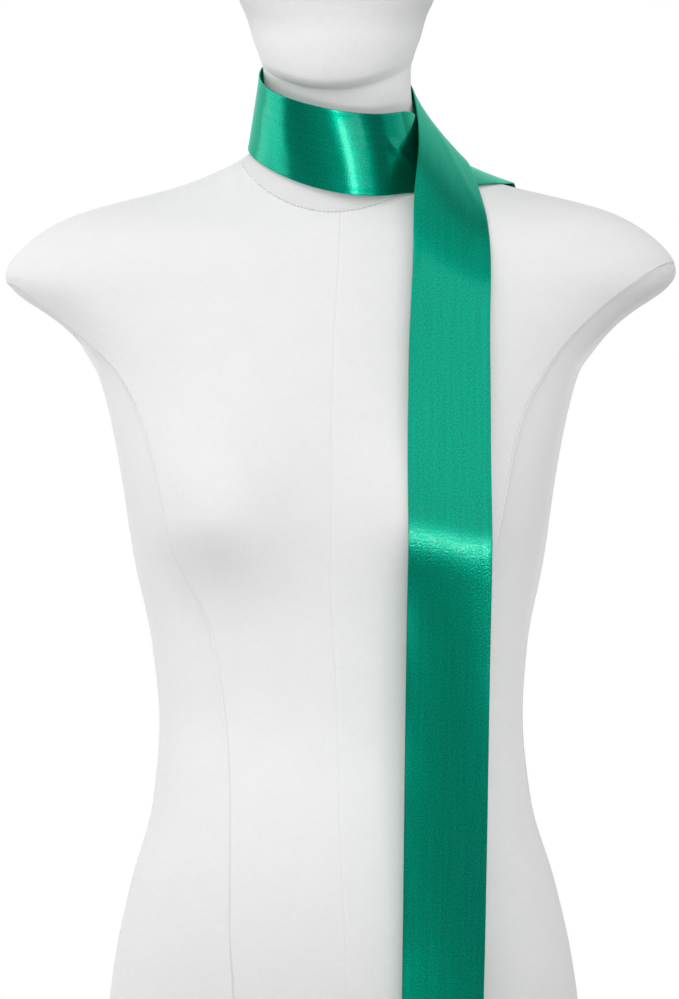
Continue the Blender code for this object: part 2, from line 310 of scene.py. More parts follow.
def spline(knots: Array, values: Array, places: Array) -> Array:
    """Natural cubic spline through rows of values.

    Args:
        knots: rising positions of the rows.
        values: one row of values for each knot.
        places: positions to read.

    Returns:
        One row of values for each place.
    """
    step = np.diff(knots)[:, None]
    slope = np.diff(values, axis=0) / step
    count = len(knots)
    system = np.eye(count)
    load = np.zeros_like(values)
    inner = np.arange(1, count - 1)
    system[inner, inner - 1] = step[:-1, 0]
    system[inner, inner] = 2 * (step[:-1, 0] + step[1:, 0])
    system[inner, inner + 1] = step[1:, 0]
    load[inner] = 6 * (slope[1:] - slope[:-1])
    bend = np.linalg.solve(system, load)
    low = np.clip(np.searchsorted(knots, places, side="right") - 1, 0, count - 2)
    width = step[low]
    left = (knots[low + 1] - places)[:, None]
    right = (places - knots[low])[:, None]
    return (
        (bend[low] * left**3 + bend[low + 1] * right**3) / (6 * width)
        + (values[low] / width - bend[low] * width / 6) * left
        + (values[low + 1] / width - bend[low + 1] * width / 6) * right
    )


def unit(vectors: Array) -> Array:
    """Vectors made one long, along the last axis."""
    return vectors / np.linalg.norm(vectors, axis=-1, keepdims=True)


def lengths_along(points: Array, axis: int) -> Array:
    """Distance of each point from the first one of its line of points, along the line.

    Args:
        points: the lines of points.
        axis: the axis that the lines run along.

    Returns:
        One distance for each point.
    """
    steps = np.linalg.norm(np.diff(points, axis=axis), axis=-1)
    first = np.zeros_like(np.take(steps, [0], axis=axis))
    return np.concatenate([first, np.cumsum(steps, axis=axis)], axis=axis)


def smooth_step(low: float, high: float, values: Array) -> Array:
    """0 below low, 1 above high, and an S-shaped cubic between them."""
    share = np.clip((values - low) / (high - low), 0, 1)
    return share**2 * (3 - 2 * share)


def hump(values: Array, width: float) -> Array:
    """A bell that is 1 at 0 and falls off over the width: exp(-(value / width) squared)."""
    return np.exp(-((values / width) ** 2))


def grid_quads(rows: int, columns: int, closed: bool) -> Numbers:
    """Corner numbers of the quads between the points of a grid.

    Args:
        rows: count of rows of points.
        columns: count of points in a row.
        closed: whether the last column joins the first.

    Returns:
        One row of four corner numbers for each quad.
    """
    row, column = np.meshgrid(
        np.arange(rows - 1), np.arange(columns if closed else columns - 1), indexing="ij"
    )
    following = (column + 1) % columns
    corners = [
        row * columns + column,
        row * columns + following,
        (row + 1) * columns + following,
        (row + 1) * columns + column,
    ]
    return np.stack([part.ravel() for part in corners], axis=1)


def make_piece(
    name: str,
    points: Array,
    faces: list[Numbers],
    corner_uv: list[Array],
    material: Material,
) -> Piece:
    """Put points and faces into a smooth mesh piece at the origin.

    Args:
        name: the piece's name.
        points: one row of x, y and z for each point.
        faces: arrays of quads or triangles, as corner numbers.
        corner_uv: for each array of faces, the cloth coordinates of its corners in metres.
        material: the piece's finish.

    Returns:
        The new object, linked to the scene.
    """
    mesh = bpy.data.meshes.new(name)
    sizes = np.concatenate([np.full(len(part), part.shape[1]) for part in faces])
    corners = np.concatenate([part.ravel() for part in faces])
    starts = np.concatenate([[0], np.cumsum(sizes)[:-1]])
    mesh.vertices.add(len(points))
    mesh.vertices.foreach_set("co", points.astype(np.float32).ravel())
    mesh.loops.add(len(corners))
    mesh.loops.foreach_set("vertex_index", corners.astype(np.int32))
    mesh.polygons.add(len(sizes))
    mesh.polygons.foreach_set("loop_start", starts.astype(np.int32))
    layer = mesh.uv_layers.new(name="cloth")
    uv = np.concatenate([part.reshape(-1, 2) for part in corner_uv])
    layer.data.foreach_set("uv", uv.astype(np.float32).ravel())
    mesh.update(calc_edges=True)
    mesh.validate()
    mesh.shade_smooth()
    mesh.materials.append(material)
    piece = bpy.data.objects.new(name, mesh)
    bpy.context.scene.collection.objects.link(piece)
    return piece


class NodePen:
    """Adds, sets and links the shader nodes of one material or world."""

    def __init__(self, owner: Material | bpy.types.World) -> None:
        """Turn the owner's nodes on and keep its node tree to write in."""
        owner.use_nodes = True
        self.tree = owner.node_tree

    def add(self, kind: str, inputs: Inputs | None = None, **settings: object) -> Node:
        """Add a node with its settings, and feed its inputs.

        Args:
            kind: the node's type name without ShaderNode.
            inputs: sockets and values for its inputs, by name or number.
            settings: values of the node's own properties.

        Returns:
            The new node.
        """
        node = self.tree.nodes.new("ShaderNode" + kind)
        for key, value in settings.items():
            setattr(node, key, value)
        self.feed(node, inputs or {})
        return node

    def feed(self, node: Node, inputs: Inputs) -> None:
        """Set a node's inputs: sockets are linked, and plain values are written on the input.

        Args:
            node: the node.
            inputs: sockets and values for its inputs, by name or number.
        """
        for key, value in inputs.items():
            if isinstance(value, Socket):
                self.tree.links.new(value, node.inputs[key])
            else:
                node.inputs[key].default_value = value

    def cloth(self) -> Socket:
        """The piece's cloth coordinates, in metres."""
        return self.add("UVMap", uv_map="cloth").outputs["UV"]

    def place(self, kind: str = "Object") -> Socket:
        """Coordinates of a kind."""
        return self.add("TexCoord").outputs[kind]

    def axis(self, vector: Socket, name: str) -> Socket:
        """One axis of a vector, by its capital letter."""
        return self.add("SeparateXYZ", {"Vector": vector}).outputs[name]

    def noise(self, vector: Socket, across: float, along: float, detail: float) -> Socket:
        """Soft noise from 0 to 1.

        Args:
            vector: coordinates in metres.
            across: width of a cell.
            along: length of a cell.
            detail: count of finer layers.

        Returns:
            The noise value.
        """
        size = {"Vector": vector, "Scale": (1 / across, 1 / along, 1.0)}
        cells = self.add("Mapping", size, vector_type="POINT").outputs["Vector"]
        values = {"Vector": cells, "Scale": 1.0, "Detail": detail, "Roughness": 0.5}
        return self.add("TexNoise", values, noise_dimensions="2D").outputs["Fac"]

    def calculate(self, operation: str, *operands: Socket | float) -> Socket:
        """A Math node on sockets or numbers."""
        return self.add("Math", dict(enumerate(operands)), operation=operation).outputs["Value"]

    def contrast(self, value: Socket, gain: float, middle: float) -> Socket:
        """Spread a value from 0 to 1 round a new middle: gain times (value - 0.5) + middle."""
        return self.calculate("MULTIPLY_ADD", value, gain, middle - gain / 2)

    def fade(self, value: Socket, start: float, end: float, low: float, high: float) -> Socket:
        """Smooth step of a value: low up to the start, and high from the end on."""
        values = {"Value": value, "From Min": start, "From Max": end, "To Min": low, "To Max": high}
        return self.add("MapRange", values, interpolation_type="SMOOTHSTEP").outputs["Result"]

    def two_colours(self, share: Socket, low: Colour, high: Colour) -> Socket:
        """Mix two linear colours.

        Args:
            share: share of the second colour, from 0 to 1.
            low: the first colour.
            high: the second colour.

        Returns:
            The mixed colour.
        """
        values = {"Factor": share, "A": (*low, 1.0), "B": (*high, 1.0)}
        outputs = self.add("Mix", values, data_type="RGBA").outputs
        return next(socket for socket in outputs if socket.type == "RGBA")

    def bump(self, height: Socket, distance: float) -> Socket:
        """Normal of a relief whose height from 0 to 1 stands for a distance in metres."""
        values = {"Height": height, "Strength": 1.0, "Distance": distance}
        return self.add("Bump", values).outputs["Normal"]


@dataclass(frozen=True)
class Finish:
    """A procedural finish, built from its own nodes."""

    name: str

    def inputs(self, pen: NodePen) -> Inputs:
        """The values of the shader's inputs, with the nodes that some of them need."""
        raise NotImplementedError

    def make(self) -> Material:
        """Build the finish's material.

        Returns:
            The material, with its shader's inputs set.
        """
        material = bpy.data.materials.new(self.name)
        pen = NodePen(material)
        pen.feed(material.node_tree.nodes["Principled BSDF"], self.inputs(pen))
        return material


@dataclass(frozen=True)
class LinenFinish(Finish):
    """Fine off-white linen, with uneven yarns both ways and a soft mottle."""

    light: Colour = (0.825, 0.825, 0.825)
    dark: Colour = (0.780, 0.780, 0.780)
    yarn: float = 0.75 * MM
    slub: float = 7.0 * MM
    mottle: float = 24.0 * MM
    relief: float = 0.08 * MM
    yarn_contrast: float = 1.6
    mottle_contrast: float = 0.6
    # A paler band round one height: painted light, standing for light under the chin and on the
    # neck.
    painted_light_height: float = 0.0
    painted_light_core: float = 0.012
    painted_light_reach: float = 0.040
    painted_light_gain: float = 1.0

    def inputs(self, pen: NodePen) -> Inputs:
        """Two colours, mixed by the yarns and the mottle on the cloth coordinates.

        Round a set height the colour is made paler, a set gain times up to a core distance away,
        and the gain fades to one further off.
        This paler band is painted light, standing for light under the chin and on the neck.

        Args:
            pen: the pen of the material's nodes.

        Returns:
            The values of the shader's inputs.
        """
        cloth = pen.cloth()
        warp = pen.noise(cloth, self.yarn, self.slub, 1.0)
        weft = pen.noise(cloth, self.slub, self.yarn, 1.0)
        mottle = pen.noise(cloth, self.mottle, self.mottle, 2.0)
        yarns = pen.calculate("MULTIPLY", pen.calculate("ADD", warp, weft), 0.5)
        share = pen.calculate(
            "ADD",
            pen.contrast(yarns, self.yarn_contrast, 0.5),
            pen.contrast(mottle, self.mottle_contrast, 0.0),
        )
        colour = pen.two_colours(share, self.dark, self.light)
        if self.painted_light_gain > 1.0:
            # Painted light: the colour is made paler round the band's height.
            away = pen.calculate("SUBTRACT", pen.axis(pen.place(), "Z"), self.painted_light_height)
            away = pen.calculate("ABSOLUTE", away)
            gain = pen.fade(away, self.painted_light_core, self.painted_light_reach, self.painted_light_gain, 1.0)
            painted_light_colour = pen.add("VectorMath", {"Vector": colour, "Scale": gain}, operation="SCALE")
            colour = painted_light_colour.outputs["Vector"]
        return {
            "Base Color": colour,
            "Normal": pen.bump(yarns, self.relief),
            "Roughness": 0.92,
            "Specular IOR Level": 0.25,
            "Sheen Weight": 0.12,
            "Sheen Roughness": 0.5,
        }


@dataclass(frozen=True)
class ThreadFinish(Finish):
    """Plain pale sewing thread with a fine twist."""

    name: str = "sewing_thread"
    light: Colour = (0.93, 0.93, 0.92)
    dark: Colour = (0.84, 0.84, 0.83)
    twist: float = 0.35 * MM

    def inputs(self, pen: NodePen) -> Inputs:
        """Two tones in fine spots, as a twisted thread shows."""
        strands = pen.noise(pen.place(), self.twist, self.twist, 0.0)
        return {"Base Color": pen.two_colours(strands, self.dark, self.light), "Roughness": 0.7}


@dataclass(frozen=True)
class SatinFinish(Finish):
    """Green satin: threads float along the strip, so its gloss spreads across it."""

    name: str = "green_satin"
    deep: Colour = (0.0, 0.22, 0.142)
    bright: Colour = (0.0, 0.44, 0.278)
    grain: float = 0.90 * MM
    grain_contrast: float = 1.2
    thread: float = 1.25 * MM
    thread_relief: float = 0.024 * MM
    sparkle: float = 1.80 * MM
    sparkle_relief: float = 0.050 * MM
    streak: float = 2.2 * MM
    streak_run: float = 70.0 * MM
    streak_contrast: float = 0.3

    def inputs(self, pen: NodePen) -> Inputs:
        """Colour by a grain and long streaks, and gloss that is stretched across the strip.

        A fine relief of the threads roughens the sheen, and a coarser one the thin clear
        gloss on top, which gives the highlights their sparkle.

        Args:
            pen: the pen of the material's nodes.

        Returns:
            The values of the shader's inputs.
        """
        cloth = pen.cloth()
        grain = pen.noise(cloth, self.grain, self.grain, 0.0)
        streaks = pen.noise(cloth, self.streak, self.streak_run, 1.0)
        threads = pen.noise(cloth, self.thread, self.thread, 0.0)
        sparkle = pen.noise(cloth, self.sparkle, self.sparkle, 1.0)
        share = pen.calculate(
            "ADD",
            pen.contrast(grain, self.grain_contrast, 0.5),
            pen.contrast(streaks, self.streak_contrast, 0.0),
        )
        across = pen.add("Tangent", direction_type="UV_MAP", uv_map="cloth")
        return {
            "Base Color": pen.two_colours(share, self.deep, self.bright),
            "Normal": pen.bump(threads, self.thread_relief),
            "Coat Normal": pen.bump(sparkle, self.sparkle_relief),
            "Tangent": across.outputs["Tangent"],
            "Metallic": 0.88,
            "Roughness": 0.33,
            "Anisotropic": 1.0,
            "Specular IOR Level": 0.35,
            "Specular Tint": (0.0, 1.0, 0.8, 1.0),
            "Coat Weight": 0.16,
            "Coat Roughness": 0.06,
        }


@dataclass(frozen=True)
class FloorFinish(Finish):
    """A plain pale studio floor."""

    name: str = "pale_floor"
    light: Colour = (0.68, 0.68, 0.68)
    dark: Colour = (0.6596, 0.6596, 0.6596)
    cloud: float = 0.4

    def inputs(self, pen: NodePen) -> Inputs:
        """A faint unevenness in the floor's tone."""
        clouds = pen.noise(pen.place(), self.cloud, self.cloud, 2.0)
        return {"Base Color": pen.two_colours(clouds, self.dark, self.light), "Roughness": 0.8}


def sections_at(sections: tuple[Section, ...], heights: Array) -> Array:
    """Every column of a section table, read at side heights: one row for each height."""
    table = np.array(sections)
    return np.stack([even_curve(table[:, 0], column, heights) for column in table.T], axis=1)


def seam_values(column: str, heights: Array) -> Array:
    """One column of the seam table, by its name, read at each of the heights."""
    levels, values = np.array(SEAM_PLACES)[:, [0, SeamPlace._fields.index(column)]].T
    return even_curve(levels, values, heights.ravel()).reshape(heights.shape)


def oval_points(rows: Array, turns: Array, swells: tuple[Swell, ...]) -> Array:
    """Points of oval sections at turns from the front, growing round by the form's own left.

    x is half_width times sin to the power 2 / square. y goes from the middle to the front or the
    back by cos to the same power. z leaves the side height by drop or rise times cos to the
    power TILT_POWER. Each swell then pushes y by a bell over the height and the distance to the
    side, on the front or the back alone, and fades out towards the other.

    Args:
        rows: one row of section values for each ring.
        turns: angles, the same for all rings or one row for each.
        swells: the soft roundings to add.

    Returns:
        Points, one row of x, y and z for each ring and turn.
    """
    height, half_width, front, back, middle, drop, rise, square = rows.T[:, :, None]
    forward, sideways = np.cos(turns), np.sin(turns)
    power = 2 / square
    reach = np.where(forward > 0, front + middle, back - middle)
    x = half_width * np.sign(sideways) * np.abs(sideways) ** power
    y = middle - reach * np.sign(forward) * np.abs(forward) ** power
    z = height + np.where(forward > 0, -drop, rise) * np.abs(forward) ** TILT_POWER
    for swell in swells:
        spread = np.where(z > swell.height, swell.spread_up, swell.spread_down)
        upright = hump(z - swell.height, spread)
        across = hump(np.abs(x) - swell.side, swell.spread_side)
        facing = smooth_step(0.0, FACING_REACH, forward * math.copysign(1.0, swell.push))
        y = y - swell.push * upright * across * facing
    return np.stack([x, y, z], axis=2)


def outward(points: Array) -> Array:
    """Outer normals of a grid that is closed along its columns: along a ring, cross up a column."""
    ring = np.roll(points, -1, axis=1) - np.roll(points, 1, axis=1)
    return unit(np.cross(ring, np.gradient(points, axis=0)))


@dataclass
class ClosedCover:
    """A cover that is lofted from rings and closed at both ends."""

    name: str
    node: str
    rings_per_section: int = 12
    neck_depth: float = 0.12 * MM
    neck_width: float = 0.8 * MM

    def even_heights(self, sections: tuple[Section, ...]) -> Array:
        """Side heights of the rings: even steps between the rows of a section table.

        Args:
            sections: the table.

        Returns:
            One height for each ring.
        """
        table = np.array(sections)[:, 0]
        count = self.rings_per_section * (len(table) - 1) + 1
        return np.interp(np.linspace(0, len(table) - 1, count), np.arange(len(table)), table)

    def close(
        self,
        rings: Array,
        cloth: tuple[Array, Array],
        low: Array,
        high: Array,
        material: Material,
    ) -> Piece:
        """Make the piece from its rings, with a fan of triangles at each end.

        Args:
            rings: points, one row of x, y and z for each ring and column.
            cloth: cloth coordinates of the left and of the right end of each column's quads.
            low: middle point of the lower end.
            high: middle point of the upper end.
            material: the cover's finish.

        Returns:
            The piece.
        """
        rows, columns = rings.shape[:2]
        points = np.concatenate([rings.reshape(-1, 3), low[None], high[None]])
        quads = grid_quads(rows, columns, closed=True)
        row, column = quads[:, 0] // columns, quads[:, 0] % columns
        left, right = cloth
        corners = [left[row, column], right[row, column], right[row + 1, column]]
        faces, uv = [quads], [np.stack([*corners, left[row + 1, column]], axis=1)]
        side = np.arange(columns)
        following = (side + 1) % columns
        ends = ((0, low, following, side), (rows - 1, high, side, following))
        for number, (ring, middle, first, second) in enumerate(ends):
            pole = np.full(columns, rows * columns + number)
            fan = [pole, ring * columns + first, ring * columns + second]
            faces.append(np.stack(fan, axis=1))
            flat = rings[ring, :, :2]
            pole_uv = np.broadcast_to(middle[:2], flat.shape)
            uv.append(np.stack([pole_uv, flat[first], flat[second]], axis=1))
        piece = make_piece(self.name, points, faces, uv, material)
        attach(piece, "root")
        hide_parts(self.node)
        return piece


@dataclass
class TorsoCover(ClosedCover):
    """The linen cover of the torso: eight panels round it, sewn along upright seams."""

    name: str = "torso_cover"
    node: str = "form_torso"
    near_seam: tuple[float, ...] = (0.0, 0.3, 0.6, 0.95, 1.4, 2.0, 3.0, 4.8, 7.6)
    near_room: float = 2.6
    wide_panel_columns: int = 13
    side_panel_columns: int = 9
    dense_turns: int = 1441
    lap_turns: int = 200
    lap: float = 0.4
    foot_round: float = 0.007
    foot_rings: int = 7
    rounding: float = 0.007
    readings: int = 5
    neck_gap: float = 0.12 * MM
    centre_depth: float = 0.35 * MM
    front_depth: float = 1.5 * MM
    side_depth: float = 0.7 * MM
    back_depth: float = 0.9 * MM
    seam_width: float = 0.50 * MM
    puff: float = 0.20 * MM
    puff_place: float = 2.2 * MM
    puff_width: float = 1.5 * MM
    hollow_reach: float = 5.0 * MM
    right_tip: float = 0.6035
    left_tip: float = 0.6165
    tip_fade: float = 0.004
    tip_lead: float = 0.002
    underarm: float = 0.552
    underarm_below: float = 0.014
    underarm_above: float = 0.012
    side_turn: float = 1.37
    rim_turn: float = 1.63
    beside: float = 0.012
    centre_span: float = 0.2
    front_turns: tuple[float, float] = (0.25, 6.03)
    back_turns: tuple[float, float] = (2.9, 3.4)

    def ring_heights(self) -> Array:
        """Side heights of the rings, with close ones round the foot's edge.

        Returns:
            One height for each ring.
        """
        heights = self.even_heights(TORSO_SECTIONS)
        turn = np.linspace(0, math.pi / 2, self.foot_rings)
        foot = self.foot_round * (1 - np.cos(turn))
        return np.concatenate([foot, heights[heights > self.foot_round + MM]])

    def sections(self, heights: Array) -> Array:
        """Section values at heights, drawn in by a quarter circle at the rounded foot.

        The values are the mean of a few readings over some millimetres of height, as the
        padding rounds off the form.

        Args:
            heights: side heights of the rings.

        Returns:
            One row of section values for each ring.
        """
        room = np.minimum(heights, TORSO_SECTIONS[-1].height - heights)
        reach = np.clip(room, 0, self.rounding)
        steps = np.linspace(-1, 1, self.readings)
        rows = np.mean([sections_at(TORSO_SECTIONS, heights + s * reach) for s in steps], axis=0)
        below = np.clip(self.foot_round - heights, 0, None)
        inset = self.foot_round - np.sqrt(self.foot_round**2 - below**2)
        rows[:, 1:4] -= inset[:, None]
        return rows

    def seam_turns(self, rows: Array) -> Array:
        """Turns at which each ring meets the eight upright seams.

        A seam crosses a ring where the ring's x passes the seam table's x at that point's
        height. Above the shoulder tip the front and back seams run beside the shoulder seam.

        Args:
            rows: one row of section values for each ring.

        Returns:
            Turns, one row of nine for each ring, the last a whole turn after the first.
        """
        whole, quarter, span = 2 * math.pi, math.pi / 2, self.centre_span
        turns = np.linspace(-span, whole - span, self.dense_turns)
        points = oval_points(rows, turns, SWELLS)
        x, z = points[..., 0], points[..., 2]
        back = seam_values("back", z)
        heights = rows[:, 0]
        in_arm = smooth_step(
            self.underarm - self.underarm_below, self.underarm + self.underarm_above, heights
        )
        over_tip = smooth_step(self.right_tip - self.tip_lead, self.left_tip, heights)
        side = self.side_turn + (self.rim_turn - self.side_turn) * in_arm
        side = side + (quarter - side) * over_tip
        left = (quarter - self.beside, quarter + self.beside)
        right = (3 * quarter - self.beside, 3 * quarter + self.beside)
        ranges = (
            (x - seam_values("centre", z), -span, span, 0.0),
            (x - seam_values("left_front", z), self.front_turns[0], left[0], left[0]),
            (back - x, left[1], self.back_turns[0], left[1]),
            (-x - back, self.back_turns[1], right[0], right[0]),
            (seam_values("right_front", z) + x, right[1], self.front_turns[1], right[1]),
        )
        centre, left_front, left_back, right_back, right_front = (
            self.crossing(turns, *values) for values in ranges
        )
        left_back = np.maximum(left_back, side + self.beside)
        right_back = np.minimum(right_back, whole - side - self.beside)
        middle = np.full(len(rows), math.pi)
        seams = [centre, left_front, side, left_back, middle, right_back, whole - side, right_front]
        return np.stack([*seams, centre + whole], axis=1)

    @staticmethod
    def crossing(turns: Array, value: Array, low: float, high: float, other: float) -> Array:
        """First turn in a range at which a value passes zero from below.

        Args:
            turns: the dense turns.
            value: one row for each ring.
            low: start of the range.
            high: end of the range.
            other: the turn where there is no crossing.

        Returns:
            One turn for each ring.
        """
        inside = (turns[:-1] >= low) & (turns[1:] <= high)
        before, after = value[:, :-1], value[:, 1:]
        passes = (before < 0) & (after >= 0) & inside
        first = passes.argmax(axis=1)
        ring = np.arange(len(value))
        step = after[ring, first] - before[ring, first]
        share = -before[ring, first] / np.where(step == 0, 1, step)
        found = turns[first] + share * (turns[1] - turns[0])
        return np.where(passes.any(axis=1), found, other)

    def panel_offsets(self, width: Array, between: int) -> Array:
        """Distances of a panel's columns from its first seam, close together beside both seams.

        Args:
            width: the panel's width at each ring.
            between: count of evenly spread columns in the middle.

        Returns:
            One row for each ring, without the column on the second seam.
        """
        near = np.array(self.near_seam) * MM
        scale = np.minimum(1.0, width / (self.near_room * near[-1]))[:, None]
        start = near[None, :] * scale
        share = (np.arange(between) + 1) / (between + 1)
        edge = start[:, -1:]
        middle = edge + (width[:, None] - 2 * edge) * share[None, :]
        end = width[:, None] - start[:, ::-1]
        return np.concatenate([start, middle, end[:, :-1]], axis=1)

    def layout(self, rows: Array) -> tuple[Array, Array, Array, Array, Numbers]:
        """Turns of all columns, and their distance round the ring.

        Args:
            rows: one row of section values for each ring.

        Returns:
            The turns, the distances from the centre front seam, the seams' distances, the whole
            distance round each ring, and the number of each panel's first column.
        """
        count = self.dense_turns + self.lap_turns
        turns = np.linspace(-self.lap, 2 * math.pi + self.lap, count)
        run = lengths_along(oval_points(rows, turns, SWELLS), 1)
        seam_turns = self.seam_turns(rows)
        at_seam = np.stack([np.interp(s, turns, ring) for s, ring in zip(seam_turns, run)])
        panels = []
        for number, panel in enumerate(PANELS):
            width = at_seam[:, number + 1] - at_seam[:, number]
            wide = panel is Panel.WIDE
            between = self.wide_panel_columns if wide else self.side_panel_columns
            offsets = self.panel_offsets(width, between)
            panels.append(at_seam[:, number : number + 1] + offsets)
        places = np.concatenate(panels, axis=1)
        found = np.stack([np.interp(place, ring, turns) for place, ring in zip(places, run)])
        start = at_seam[:, :1]
        first = np.cumsum([0] + [panel.shape[1] for panel in panels[:-1]])
        seams = at_seam[:, :-1] - start
        return found, places - start, seams, at_seam[:, -1] - at_seam[:, 0], first

    def relief(self, z: Array, run: Array, seams: Array, total: Array) -> Array:
        """Height of the sewn seams over the plain form, in metres.

        Each seam is a groove, minus depth times a bell over the distance from the seam, with
        a small swell beside it. The side panels fall away from the seams on both their sides
        by hollow times (1 - exp(-distance / hollow_reach)).

        Args:
            z: heights of the plain form's points.
            run: distance of each column round its ring.
            seams: distance of each seam round its ring.
            total: whole distance round each ring.

        Returns:
            One height for each ring and column, outwards.
        """
        tips = (self.left_tip, self.right_tip)
        left, right = (1 - smooth_step(tip - self.tip_fade, tip, z) for tip in tips)
        depths = (
            self.centre_depth,
            self.front_depth * left,
            self.side_depth,
            self.back_depth * right,
            self.back_depth,
            self.back_depth * right,
            self.side_depth,
            self.front_depth * right,
        )
        height = np.zeros_like(z)
        around = total[:, None]
        for number, depth in enumerate(depths):
            away = run - seams[:, number : number + 1]
            away = (away + around / 2) % around - around / 2
            height -= depth * hump(away, self.seam_width)
            share = np.minimum(depth / self.side_depth, 1.0)
            height += self.puff * share * hump(np.abs(away) - self.puff_place, self.puff_width)
        hollow = seam_values("hollow", z)
        for panel, fade in ((1, left), (2, right), (5, right), (6, right)):
            from_low = np.clip(run - seams[:, panel : panel + 1], 0, None)
            from_high = np.clip(seams[:, panel + 1 : panel + 2] - run, 0, None)
            fall_low = 1 - np.exp(-from_low / self.hollow_reach)
            fall_high = 1 - np.exp(-from_high / self.hollow_reach)
            height -= hollow * fade * fall_low * fall_high
        return height

    def cloth_places(self, points: Array, first: Numbers, up: Array) -> tuple[Array, Array]:
        """Cloth coordinates of the panels, each cut with its yarns upright.

        Front and back panels are laid out by x, and by the way up the middle of the panel at
        the same height. Side panels are laid out by y and the way up.

        Args:
            points: the cover's points.
            first: the number of the first column of each panel.
            up: the way up each column.

        Returns:
            The coordinates of the left and of the right end of each column's quads.
        """
        rows, columns = points.shape[:2]
        closed = np.concatenate([points, points[:, :1]], axis=1)
        closed_up = np.concatenate([up, up[:, :1]], axis=1)
        bounds = [*first, columns]
        ends = np.empty((2, rows, columns, 2))
        for step, cloth in enumerate(ends):
            for number, panel in enumerate(PANELS):
                own = np.arange(bounds[number], bounds[number + 1])
                place = closed[:, own + step]
                if panel is Panel.WIDE:
                    middle = (bounds[number] + bounds[number + 1]) // 2
                    way = np.interp(place[..., 2], points[:, middle, 2], up[:, middle])
                    cloth[:, own] = np.stack([place[..., 0], way], axis=2)
                else:
                    way = closed_up[:, own + step]
                    cloth[:, own] = np.stack([place[..., 1] + number, way], axis=2)
        return ends[0], ends[1]

    def build(self, material: Material) -> Piece:
        """Build the cover, riding on the body in place of its CAD node.

        Args:
            material: its linen.

        Returns:
            The piece.
        """
        rows = self.sections(self.ring_heights())
        turns, run, seams, total, first = self.layout(rows)
        plain = oval_points(rows, turns, SWELLS)
        plain[-1, :, 2] -= self.neck_gap
        relief = self.relief(plain[..., 2], run, seams, total)
        up = lengths_along(plain, 0)
        relief -= self.neck_depth * hump(up[-1:] - up, self.neck_width)
        points = plain + outward(plain) * relief[..., None]
        points[0, :, 2] = 0.0
        cloth = self.cloth_places(points, first, up)
        low = np.array([0.0, points[0, :, 1].mean(), 0.0])
        high = points[-1].mean(axis=0)
        return self.close(points, cloth, low, high, material)


@dataclass
class HeadCover(ClosedCover):
    """The linen cover of the neck and the plain egg-shaped head."""

    name: str = "head_cover"
    node: str = "form_head"
    columns: int = 240
    turn_pull: float = 0.14
    front_fade: float = 0.6
    top: float = 0.950
    crown_rings: int = 7
    crown_power: float = 3.2
    seam_side: float = 0.0020
    seam_depth: float = 0.30 * MM
    seam_width: float = 0.6 * MM
    pucker_side: float = -0.0066
    pucker_height: float = 0.770
    pucker_depth: float = 0.8 * MM
    pucker_width: float = 1.2 * MM
    pucker_squeeze: float = 0.7
    chin_height: float = 0.7500
    chin_depth: float = 0.8 * MM
    chin_width: float = 0.7 * MM
    chin_least: float = 0.25
    chin_fade: tuple[float, float] = (-0.004, 0.030)
    cloth_ring: int = 60

    def crown(self, last: Array) -> Array:
        """Rings that close the last one in an even dome.

        The rings shrink evenly to the middle. They rise to the top by one minus the share of
        the radius to the power crown_power, which carries on the slope below.

        Args:
            last: points of the last ring.

        Returns:
            Points of the dome's rings, without its pole.
        """
        share = np.linspace(1, 0, self.crown_rings + 2)[1:-1]
        middle = last.mean(axis=0)
        rings = middle + (last - middle) * share[:, None, None]
        rise = 1 - share**self.crown_power
        rings[..., 2] = last[None, :, 2] + (self.top - last[None, :, 2]) * rise[:, None]
        return rings

    def relief(self, plain: Array, turns: Array, heights: Array) -> Array:
        """Height of the cover's front seam, its crease under the chin and a pucker, in metres.

        Each is a trough, minus depth times a bell over the distance from it. The crease and
        the pucker fade out behind the front, and the crease is shallower at the form's left.

        Args:
            plain: the plain form's points.
            turns: the columns' turns.
            heights: the rings' side heights.

        Returns:
            One height for each ring and column, outwards.
        """
        x, z = plain[..., 0], plain[..., 2]
        in_front = smooth_step(0.0, self.front_fade, np.cos(turns))[None, :]
        away = (heights - self.chin_height)[:, None]
        fade = self.chin_least + (1 - self.chin_least) * (1 - smooth_step(*self.chin_fade, x))
        to_pucker = np.hypot(x - self.pucker_side, self.pucker_squeeze * (z - self.pucker_height))
        return (
            -self.seam_depth * hump(x - self.seam_side, self.seam_width)
            - self.chin_depth * hump(away, self.chin_width) * in_front * fade
            - self.pucker_depth * hump(to_pucker, self.pucker_width) * in_front
            - self.neck_depth * hump(lengths_along(plain, 0), self.neck_width)
        )

    def build(self, material: Material) -> Piece:
        """Build the cover, riding on the body in place of its CAD node.

        Args:
            material: its linen.

        Returns:
            The piece.
        """
        heights = self.even_heights(HEAD_SECTIONS)
        turns = np.linspace(0, 2 * math.pi, self.columns, endpoint=False)
        turns = turns - self.turn_pull * np.sin(turns)
        plain = oval_points(sections_at(HEAD_SECTIONS, heights), turns, ())
        points = plain + outward(plain) * self.relief(plain, turns, heights)[..., None]
        points = np.concatenate([points, self.crown(points[-1])])
        ring = plain[self.cloth_ring]
        around = lengths_along(np.concatenate([ring, ring[:1]]), 0)
        up = lengths_along(points, 0)
        up = np.concatenate([up, up[:, :1]], axis=1)
        whole = np.stack([np.broadcast_to(around, up.shape), up], axis=2)
        low = points[0].mean(axis=0)
        high = np.array([0.0, points[-1, :, 1].mean(), self.top])
        return self.close(points, (whole[:, :-1], whole[:, 1:]), low, high, material)


